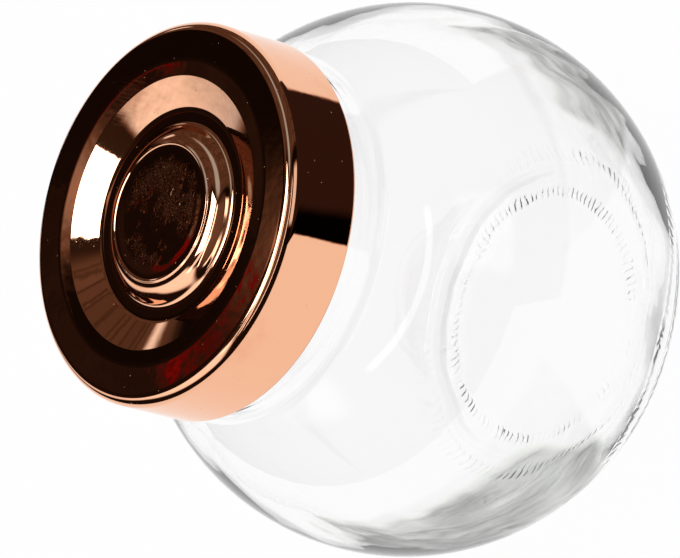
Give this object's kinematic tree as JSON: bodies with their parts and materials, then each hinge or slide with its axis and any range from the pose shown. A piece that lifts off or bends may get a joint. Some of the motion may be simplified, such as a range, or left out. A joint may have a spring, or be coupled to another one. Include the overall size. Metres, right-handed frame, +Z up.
{
  "type": "storage jar",
  "caption": "Globe-shaped clear glass storage jar with a flat foot, a short neck and a polished copper-coloured push-on lid with a dished top.",
  "frame": {"origin": "on the table, under the middle of the foot", "axes": "+Z up through the mouth; the jar is round about Z, so X and Y are free"},
  "size_m": [0.1, 0.1, 0.0959],
  "materials": {
    "glass_jar": "clear, smooth, with slight waves and a knurled ring under the foot",
    "lid_shell": "mirror-polished copper plate with fine wear",
    "lid_plug": "white moulded polypropylene, semi-gloss",
    "seal_ring": "translucent silicone"
  },
  "bodies": {
    "jar": {"glass_jar": "glass_jar"},
    "lid": {"lid_shell": "lid_shell", "lid_plug": "lid_plug", "seal_ring": "seal_ring"}
  },
  "joints": [
    {"name": "lid_lift", "type": "slide", "parent": "jar", "child": "lid", "axis": [0, 0, 1], "range_m": [0, 0.08]}
  ]
}
